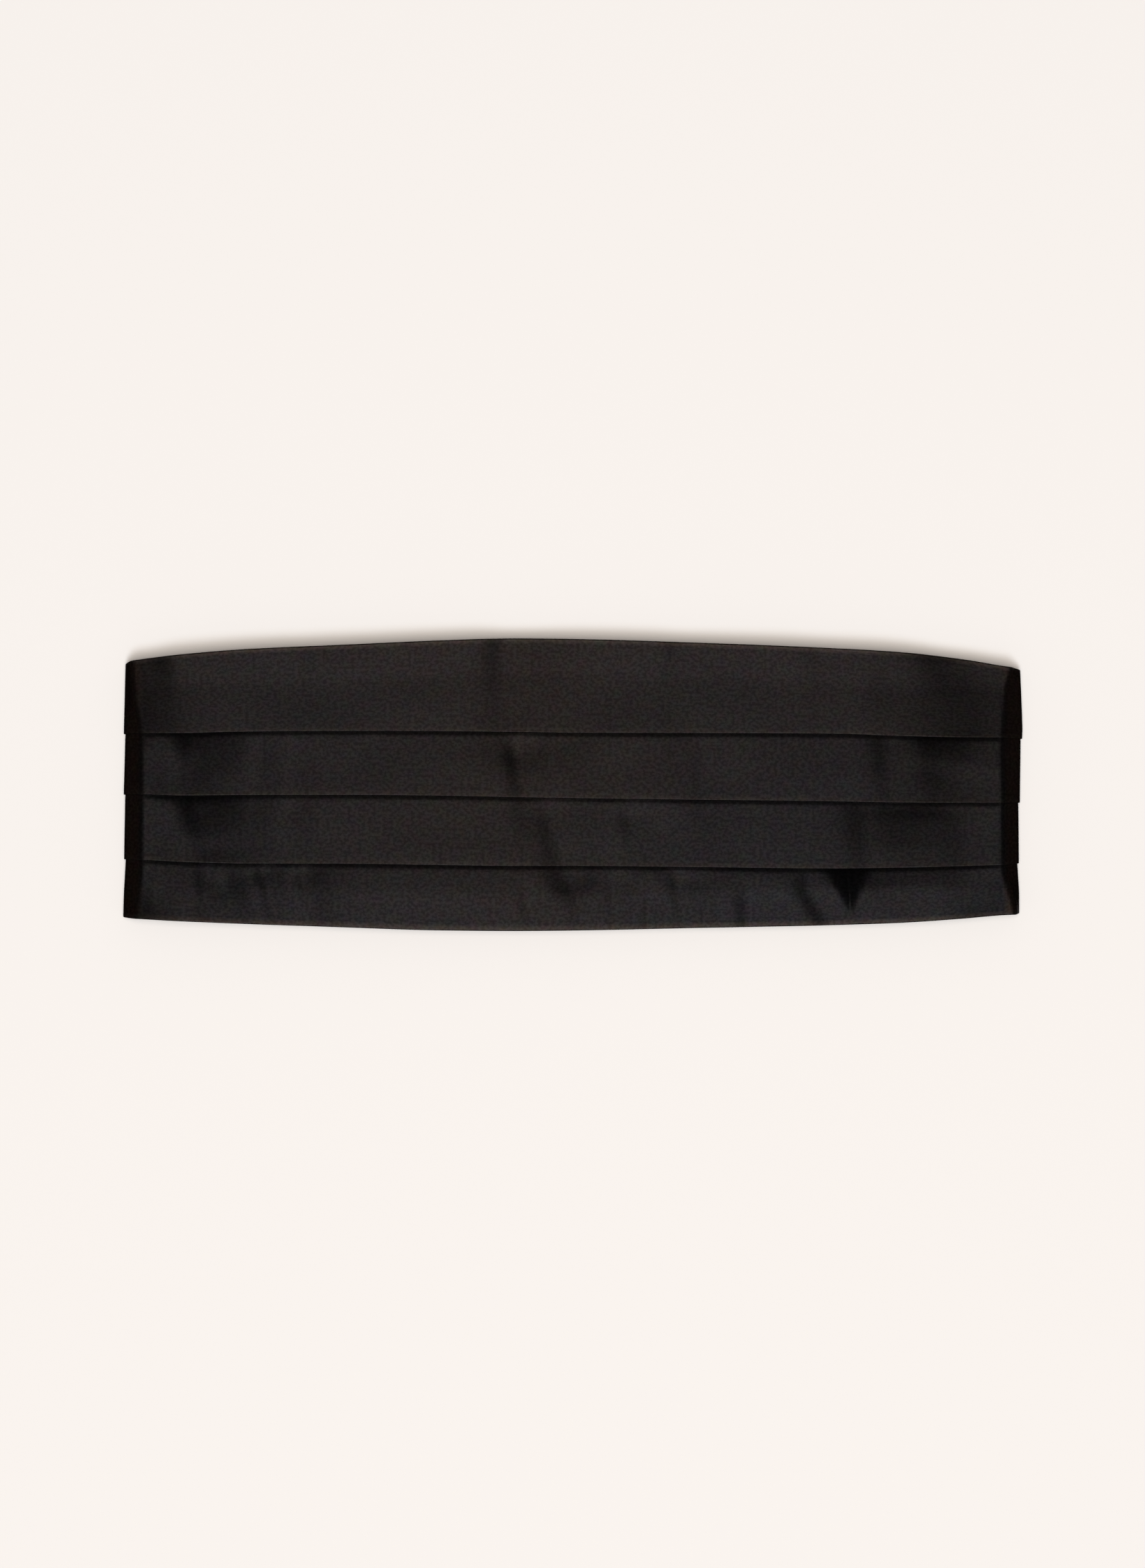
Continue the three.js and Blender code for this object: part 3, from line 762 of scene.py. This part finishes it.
cut_area = sum(
    (cut_lengths(rows)[-1] + cut_lengths(later)[-1]) / 2 * (after - before)
    for (before, _, rows), (after, _, later) in zip(column_rows, column_rows[1:])
) * MM * MM
panel = new_piece("pleated_front", panel_bm, satin)
give_body(panel, satin_thickness)
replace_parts(panel, "pleated_panel")

# ---- Sewing on the panel -----------------------------------------------------------------
# Black thread. Small slanted stitches hold the raw edges of the hems on the inside, and two
# rows of machine stitches across each end go through all of its layers.

thread_width = 0.35
thread_height = 0.22
thread_above = 0.05     # the middle of a stitch lies this far off the cloth it is sewn on
thread_clear = 0.01     # and the whole of it this far off the floor
bead = bmesh.new()
bmesh.ops.create_uvsphere(bead, u_segments=8, v_segments=5, radius=1)
bead.verts.index_update()


def add_stitch(bm, middle, way, outwards, length):
    """A stitch of thread, in millimetres: an oval bead that lies along way."""
    height = max(middle.z, thread_height / 2 + thread_clear)
    across = outwards.cross(way).normalized()
    sides = (way * length / 2, across * thread_width / 2, outwards * thread_height / 2)
    turned = Matrix(sides).transposed().to_4x4()
    moved = Matrix.Translation(Vector((middle.x, middle.y, height)) * MM)
    place = moved @ Matrix.Scale(MM, 4) @ turned
    copies = [bm.verts.new(place @ vert.co) for vert in bead.verts]
    for face in bead.faces:
        bm.faces.new([copies[vert.index] for vert in face.verts]).smooth = True


thread, thread_shader, nodes = new_finish("thread")
on_thread = nodes.node("ShaderNodeTexCoord", output="Object")
plies = noise_on(nodes, on_thread, (2600, 2600, 2600), 2.0)
thread_colour = mixed(nodes, plies, (0.006, 0.006, 0.006, 1), (0.020, 0.019, 0.019, 1))
thread_colour.feed(thread_shader, "Base Color")
thread_shader.inputs["Roughness"].default_value = 0.55

hem_stitch_step = 5.5
hem_stitch_length = 2.4
hem_stitch_slant = 0.6
slant_change = 0.2
hem_stitch_inset = 12     # the last hem stitch is this far from the raw end of the cloth
turn_from, turn_to = 186, 219       # no hem stitch lies where the cloth turns
end_stitch_step = 2.9
end_stitch_length = 2.3
end_stitch_margin = 2
end_rows = [3.0, 9.0]     # how far in from the raw end the two rows are
inside_height = 6         # a height inside the panel, over its wings
thread_bite = 0.02        # a machine stitch pulls into the cloth by this much
down, up = Vector((0, 0, -1)), Vector((0, 0, 1))

bm = bmesh.new()
last_stitch = wing_end - hem_stitch_inset
stitch_count = round(2 * last_stitch / hem_stitch_step)
for index in range(stitch_count + 1):
    along = last_stitch * (2 * index / stitch_count - 1)
    if turn_from < abs(along) < turn_to:
        continue
    m = measures_at(along)
    rows = pleated_rows(m)
    slant = hem_stitch_slant + slant_change * noise.noise(Vector((along, 0, 0)))
    for row in (rows[0], rows[-1]):
        on_hem = Row(row.y, row.depth + satin_thickness / 2 + thread_above, row.tier, 0)
        middle = panel_point(along, m, on_hem) / MM
        facing = down if abs(along) < half_width else up
        add_stitch(bm, middle, Vector((slant, 1, 0)).normalized(), facing, hem_stitch_length)
for side in (-1, 1):
    for inset in end_rows:
        along = side * (wing_end - inset)
        m = measures_at(along)
        x = panel_point(along, m, pleated_rows(m)[0]).x / MM
        seam_length = m.top - m.bottom - 2 * end_stitch_margin
        count = round(seam_length / end_stitch_step)
        for index in range(count + 1):
            y = m.bottom + end_stitch_margin + seam_length * index / count
            for start, way in ((up, down), (down, up)):
                origin = Vector((x, y, inside_height * start.z)) * MM
                hit = cloth_tree.ray_cast(origin, way)[0]
                if hit is not None:
                    middle = hit / MM + start * (satin_thickness / 2 - thread_bite)
                    add_stitch(bm, middle, Vector((0, 1, 0)), start, end_stitch_length)
new_piece("panel_stitches", bm, thread)

# ---- Straps ------------------------------------------------------------------------------
# Two bands of black ribbed ribbon, sewn on the insides of the panel's ends. The left one goes
# through the slide, round the hook's bar and back to the slide's middle bar. The right one goes
# round the eye's bar and is sewn to itself.

ribbon_width = 35
ribbon_thickness = 0.45
ribbon_gap = 0.25       # between one layer of ribbon and the next, or the satin
sewn_overlap = 14
rib_pitch = 0.9

slide_low, slide_high = (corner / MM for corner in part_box("strap_slide"))
hook_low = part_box("clasp_hook")[0] / MM
eye_low, eye_high = (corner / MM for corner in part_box("clasp_eye"))
slide_bar = 3.5
first_slot = 9
clasp_bar = 3
clasp_slot = 3.5
clasp_base, clasp_top = eye_low.z, eye_high.z
middle_bar = slide_low.x + slide_bar + first_slot
right_bar = slide_high.x - slide_bar
hook_edge = hook_low.x + clasp_bar
eye_edge = eye_high.x - clasp_bar

# Heights of the middle of a ribbon: on the floor, on its own first layer, on the panel's end,
# over the slide, under its middle bar and at the middle of a loop round the clasp.
wing_tip = abs(panel_point(wing_end, measures_at(wing_end), middle_rows[0]).x) / MM
floor_play, slide_play, loop_play = 0.05, 0.3, 0.2
on_floor = ribbon_thickness / 2 + floor_play
on_ribbon = on_floor + ribbon_thickness + ribbon_gap
panel_layers = outer_depth + 2 * pressed_pitch + satin_thickness / 2
on_wing = panel_layers + ribbon_thickness / 2 + ribbon_gap
over_slide = slide_high.z + slide_play + ribbon_thickness / 2
under_bar = 1.9
bar_middle, bar_radius = (under_bar + over_slide) / 2, (over_slide - under_bar) / 2
loop_radius = (clasp_top - clasp_base) / 2 + loop_play + ribbon_thickness / 2
loop_height = (clasp_base + clasp_top) / 2

past_edge = 0.5         # a ribbon starts to bend this far past the edge of a bar
step_length = 5         # it takes this long to come down off the panel's end
slot_ramp = 2           # this long to reach the floor through a slot of the slide
ramp_length = 8         # this long to rise from the floor to the slide or the clasp
right_ramp = 9          # and this long to come back down from the eye
end_length = 1.5        # the left strap's end reaches this far past the slide's middle bar
return_length = 33      # and the right one's comes back this far from the eye


def loop_round(x, z, radius, side):
    """Half a turn of a strap round a bar's edge, from below it to above it."""
    steps = 8
    turns = [math.pi * step / steps for step in range(steps + 1)]
    return [(x + side * radius * math.sin(turn), z - radius * math.cos(turn)) for turn in turns]


left_line = [
    (-wing_tip - sewn_overlap, on_wing),
    (-wing_tip, on_wing),
    (-wing_tip + step_length, on_floor),
    (slide_low.x - ramp_length, on_floor),
    (slide_low.x - past_edge, over_slide),
    (slide_low.x + slide_bar + past_edge, over_slide),
    (middle_bar - slot_ramp, on_floor),
    (hook_low.x, on_floor),
    *loop_round(hook_edge, loop_height, loop_radius, 1),
    (hook_low.x - past_edge, loop_height + loop_radius),
    (hook_low.x - ramp_length, on_ribbon),
    (slide_high.x + ramp_length, on_ribbon),
    (slide_high.x + past_edge, over_slide),
    (right_bar - past_edge, over_slide),
    (middle_bar + slide_bar + past_edge, under_bar),
    *loop_round(middle_bar, bar_middle, bar_radius, -1),
    (middle_bar + slide_bar + end_length, over_slide),
]
right_line = [
    (wing_tip + sewn_overlap, on_wing),
    (wing_tip, on_wing),
    (wing_tip - step_length, on_floor),
    (eye_high.x, on_floor),
    *loop_round(eye_edge, loop_height, loop_radius, -1),
    (eye_high.x + past_edge, loop_height + loop_radius),
    (eye_high.x + right_ramp, on_ribbon),
    (eye_high.x + return_length, on_ribbon),
]

ribbon_rounds = 3       # how often the corners of a ribbon's line are cut
corner_share = 0.25     # by this much of each side
longest_trim = 1.5      # and by this length at most
ribbon_step = 2.0
ribbon_columns = 10
bow_height = 0.25       # slow unevenness where the ribbon lies free
bow_length = 22
bow_width = 30


def rounded(line, rounds):
    """The line with its corners cut again and again, so that it bends as ribbon does."""
    shortest = 0.01
    for _ in range(rounds):
        cut_line = [line[0]]
        for (x0, z0), (x1, z1) in zip(line, line[1:]):
            length = max(math.hypot(x1 - x0, z1 - z0), shortest)
            trim = min(corner_share, longest_trim / length)
            cut_line.append((between(x0, x1, trim), between(z0, z1, trim)))
            cut_line.append((between(x1, x0, trim), between(z1, z0, trim)))
        line = cut_line + [line[-1]]
    return line


def spaced(line, step):
    """Points on the line no more than a step apart, each with its length from the start."""
    points, total = [(*line[0], 0.0)], 0.0
    for (x0, z0), (x1, z1) in zip(line, line[1:]):
        length = math.hypot(x1 - x0, z1 - z0)
        parts = max(1, math.ceil(length / step))
        for part in range(1, parts + 1):
            share = part / parts
            place = between(x0, x1, share), between(z0, z1, share)
            points.append((*place, total + length * share))
        total += length
    return points


def ribbon_mesh(line, seed):
    """A band of ribbon along a line, a little uneven, and its length."""
    points = spaced(rounded(line, ribbon_rounds), ribbon_step)
    steps = len(points) - 1
    lowest = ribbon_thickness / 2 + floor_gap
    bm = bmesh.new()
    bmesh.ops.create_grid(bm, x_segments=steps, y_segments=ribbon_columns, size=0.5)
    run_uv = bm.loops.layers.uv.new("run")
    flat_places = {}
    for vert in bm.verts:
        x, z, length = points[round((vert.co.x + 0.5) * steps)]
        across = vert.co.y * ribbon_width
        bow = bow_height * noise.noise(Vector((length / bow_length, across / bow_width, seed)))
        vert.co = Vector((x, across, max(z + bow, lowest))) * MM
        flat_places[vert] = (length * MM, across * MM)
    lay_flat(bm, run_uv, flat_places)
    return bm, points[-1][2]


# painted shade: the ribbon's colour is darker in the grooves between its ribs, with the weft's
# own speckle on top
groove_shade_black = (0.0030, 0.0029, 0.0032, 1)
rib_black = (0.0080, 0.0077, 0.0082, 1)
rib_contrast, weft_contrast = 0.35, 0.8
rib_relief, weft_relief = 0.5, 0.4

ribbon, ribbon_shader, nodes = new_finish("ribbon")
on_run = nodes.node("ShaderNodeUVMap", {"uv_map": "run"})
run_along = nodes.node("ShaderNodeSeparateXYZ", {}, {"Vector": on_run}, output=0)
ribs = (run_along * (2 * math.pi / (rib_pitch * MM))).sine()
weft = noise_on(nodes, on_run, (500, 1800, 1), 2.0)
rib_shade = 0.5 + ribs * rib_contrast + (weft - 0.5) * weft_contrast
mixed(nodes, rib_shade, groove_shade_black, rib_black).feed(ribbon_shader, "Base Color")
relief = ribs * rib_relief + weft * weft_relief
bumped(nodes, relief, 0.0002, 0.8).feed(ribbon_shader, "Normal")
ribbon_shader.inputs["Roughness"].default_value = 0.6
ribbon_shader.inputs["Specular IOR Level"].default_value = 0.25

for side, line, seed in (("left", left_line, 1.7), ("right", right_line, 8.2)):
    bm, ribbon_length = ribbon_mesh(line, seed)
    strap = new_piece(side + "_ribbon", bm, ribbon)
    give_body(strap, ribbon_thickness)
    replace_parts(strap, side + "_strap")
    ribbon_length * MM

# ---- Sewing on the straps ----------------------------------------------------------------
# Black thread. Each strap is sewn on its end of the panel with a box of machine stitches. Two
# rows close the right strap's loop, and one the left strap's end round the slide.

strap_stitch_step = 2.6
strap_stitch_length = 2.1
box_inset = 1.8
box_start = 2.5         # the box starts this far from the raw end of the panel
below_panel = 0.1       # the height of its stitches on the panel's outer side
return_rows = [2, 8]    # how far in from the right strap's end its two rows are
return_above = 0.1      # and how far off the ribbon
stitch_edge = ribbon_width / 2 - box_inset


def stitch_line(bm, start, end, facing):
    """A row of machine stitches from one point to another."""
    span = end - start
    count = max(1, round(span.length / strap_stitch_step))
    for index in range(count):
        middle = start + span * ((index + 0.5) / count)
        add_stitch(bm, middle, span.normalized(), facing, strap_stitch_length)


def stitch_across(bm, x, z, facing):
    """A row of machine stitches across a strap, from one edge to the other."""
    stitch_line(bm, Vector((x, -stitch_edge, z)), Vector((x, stitch_edge, z)), facing)


bm = bmesh.new()
for side in (-1, 1):
    near, far = side * (wing_tip + box_start), side * (wing_tip + sewn_overlap - box_inset)
    corners = [(near, -stitch_edge), (far, -stitch_edge), (far, stitch_edge), (near, stitch_edge)]
    box = [Vector((x, y, on_wing + ribbon_thickness / 2 + thread_above)) for x, y in corners]
    for start, end in zip(box, box[1:] + box[:1]):
        stitch_line(bm, start, end, up)
    for x in (near, far):
        stitch_across(bm, x, below_panel, down)
top_of_return = on_ribbon + ribbon_thickness / 2 + return_above
for inset in return_rows:
    stitch_across(bm, eye_high.x + return_length - inset, top_of_return, up)
top_of_end = over_slide + ribbon_thickness / 2 + thread_above
stitch_across(bm, middle_bar + slide_bar, top_of_end, up)
new_piece("strap_stitches", bm, thread)
bead.free()

# ---- Slide and clasp ---------------------------------------------------------------------
# Three flat parts stamped from steel and coated black: the slide, with a slot on each side of
# its middle bar, and the hook and the eye of the clasp, each with a slot for its strap. The
# hook's tongue is bent through the eye.

frame_half = slide_high.y
end_bar = 3
slot_half = frame_half - end_bar
corner_radius = 1.5
slot_corner = 0.6
corner_steps = 5
edge_round = 0.28
edge_steps = 2
sharp_angle = 1         # an edge that turns by more than this, in radians, is rounded
flat_facing = 0.98      # and a face that looks up or down by this much stays flat
tongue_half = 8
tongue_wall = 1.0
tongue_gap = 0.3        # between the tongue and the eye's bar


def bevelled(bm, parts, size, steps, affect):
    """Cuts corners or edges round, by a size in millimetres."""
    bmesh.ops.bevel(
        bm,
        geom=parts,
        offset=size * MM,
        segments=steps,
        profile=0.5,
        affect=affect,
        material=-1,
    )


def rounded_loop(bm, x0, x1, half, radius):
    """A closed line round a rectangle with round corners."""
    places = [(x0, -half), (x1, -half), (x1, half), (x0, half)]
    corners = [bm.verts.new((x * MM, y * MM, 0)) for x, y in places]
    for start, end in zip(corners, corners[1:] + corners[:1]):
        bm.edges.new((start, end))
    bevelled(bm, corners, radius, corner_steps, "VERTICES")


def soften_edges(bm):
    """Rounds every sharp edge and smooths all but the flat faces."""
    sharp = [
        edge for edge in bm.edges if edge.is_manifold and edge.calc_face_angle() > sharp_angle
    ]
    bevelled(bm, sharp, edge_round, edge_steps, "EDGES")
    for face in bm.faces:
        face.smooth = abs(face.normal.z) < flat_facing


def slotted_plate(x0, x1, base, top, slots):
    """A flat plate with slots, each given as its two ends and half its length."""
    bm = bmesh.new()
    rounded_loop(bm, x0, x1, frame_half, corner_radius)
    for start, end, half in slots:
        rounded_loop(bm, start, end, half, slot_corner)
    filled = bmesh.ops.triangle_fill(bm, use_beauty=True, edges=bm.edges[:])
    faces = [item for item in filled["geom"] if isinstance(item, bmesh.types.BMFace)]
    raised = bmesh.ops.extrude_face_region(bm, geom=faces)
    verts = [item for item in raised["geom"] if isinstance(item, bmesh.types.BMVert)]
    bmesh.ops.translate(bm, verts=bm.verts[:], vec=(0, 0, base * MM))
    bmesh.ops.translate(bm, verts=verts, vec=(0, 0, (top - base) * MM))
    bmesh.ops.recalc_face_normals(bm, faces=bm.faces[:])
    soften_edges(bm)
    return bm


least_rough, handling_wear = 0.24, 0.22
coated, coated_shader, nodes = new_finish("black_metal")
on_metal = nodes.node("ShaderNodeTexCoord", output="Object")
orange_peel = noise_on(nodes, on_metal, (900, 900, 900), 2.0)
handled = noise_on(nodes, on_metal, (120, 120, 120), 4.0)
metal_colour = mixed(nodes, handled, (0.009, 0.009, 0.010, 1), (0.020, 0.020, 0.022, 1))
metal_colour.feed(coated_shader, "Base Color")
(least_rough + handled * handling_wear).feed(coated_shader, "Roughness")
bumped(nodes, orange_peel, 0.00003, 0.3).feed(coated_shader, "Normal")
coated_shader.inputs["Metallic"].default_value = 0.6

bm = slotted_plate(slide_low.x, slide_high.x, slide_low.z, slide_high.z, [
    (slide_low.x + slide_bar, middle_bar, slot_half),
    (middle_bar + slide_bar, right_bar, slot_half),
])
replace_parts(new_piece("slide_frame", bm, coated), "strap_slide")

opening = eye_low.x + clasp_bar
opening_length = 6
side_play = 1.5         # of the tongue in the opening
bm = slotted_plate(eye_low.x, eye_high.x, clasp_base, clasp_top, [
    (opening, opening + opening_length, tongue_half + side_play),
    (eye_edge - clasp_slot, eye_edge, slot_half),
])
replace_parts(new_piece("eye_plate", bm, coated), "clasp_eye")

# The tongue is a strip along the line of its outer face: from inside the hook's plate, over the
# eye's first bar, down through the opening and back under the bar.
hook_land = 8.5         # the plate between its slot and its right edge
root_length, root_depth = 3, 0.1
rise_start = 1          # it rises from this far inside the plate's edge
rise_end = 1.5          # to this far before the eye
tip_past = 1            # and comes out this far past the bar again
tongue_rounds = 2
plate_right = hook_edge + clasp_slot + hook_land
root_height = clasp_top - root_depth
tongue_top = clasp_top + tongue_gap + tongue_wall
tongue_turn = opening + tongue_gap + tongue_wall
tongue_line = rounded([
    (plate_right - root_length, root_height),
    (plate_right - rise_start, root_height),
    (eye_low.x - rise_end, tongue_top),
    (tongue_turn, tongue_top),
    (tongue_turn, floor_gap),
    (eye_low.x - tip_past, floor_gap),
], tongue_rounds)
tongue = bmesh.new()
crossings = [
    [tongue.verts.new(Vector((x, y, z)) * MM) for y in (-tongue_half, tongue_half)]
    for x, z in tongue_line
]
for (a, b), (c, d) in zip(crossings, crossings[1:]):
    tongue.faces.new((a, c, d, b))
tongue.normal_update()
bmesh.ops.solidify(tongue, geom=tongue.faces[:], thickness=tongue_wall * MM)
bmesh.ops.recalc_face_normals(tongue, faces=tongue.faces[:])
soften_edges(tongue)
tongue_mesh = new_mesh("tongue", tongue)

bm = slotted_plate(hook_low.x, plate_right, clasp_base, clasp_top, [
    (hook_edge, hook_edge + clasp_slot, slot_half),
])
bm.from_mesh(tongue_mesh)
bpy.data.meshes.remove(tongue_mesh)
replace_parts(new_piece("hook_plate", bm, coated), "clasp_hook")

# ---- Floor, light and camera -------------------------------------------------------------
# A large sheet of pale warm paper, a broad light overhead, a dim cool one from the front's
# lower side, and a camera straight above.

floor_half = 4
bm = bmesh.new()
bmesh.ops.create_grid(bm, x_segments=1, y_segments=1, size=floor_half)
floor = placed("floor", new_mesh("floor", bm))
paper, paper_shader, nodes = new_finish("paper")
paper_shader.inputs["Base Color"].default_value = (0.94, 0.905, 0.87, 1)
paper_shader.inputs["Roughness"].default_value = 0.9
paper_shader.inputs["Specular IOR Level"].default_value = 0.1
floor.data.materials.append(paper)

world = bpy.data.worlds.new("studio")
world.use_nodes = True
world.node_tree.nodes["Background"].inputs["Color"].default_value = (1, 0.97, 0.93, 1)
world.node_tree.nodes["Background"].inputs["Strength"].default_value = 0.14
bpy.context.scene.world = world

overhead_data = bpy.data.lights.new("overhead", "AREA")
overhead_data.shape = "ELLIPSE"
overhead_data.size = 3.2
overhead_data.size_y = 4.6
overhead_data.energy = 290
overhead_data.color = (1, 0.93, 0.87)
overhead = placed("overhead", overhead_data)
overhead.location = (0, -0.75, 6)
overhead.rotation_euler = (-overhead.location).to_track_quat("-Z", "Y").to_euler()

key_data = bpy.data.lights.new("key", "SUN")
key_data.energy = 0.78
key_data.angle = math.radians(20)
key_data.color = (0.66, 0.82, 1)
key = placed("key", key_data)
key.rotation_euler = (math.radians(24), 0, 0)

view_height = 0.6952         # what the frame's long side takes in, at the height of the front
view_middle = (-0.0001, 0.0003)
camera_data = bpy.data.cameras.new("camera")
camera_data.lens = 90
camera_data.sensor_width = 36
camera_data.sensor_fit = "AUTO"
camera_data.clip_end = 20
camera = placed("camera", camera_data)
view_distance = view_height * camera_data.lens / camera_data.sensor_width
camera.location = (*view_middle, front_height * MM + view_distance)
bpy.context.scene.camera = camera

bpy.context.scene.view_settings.view_transform = "Standard"
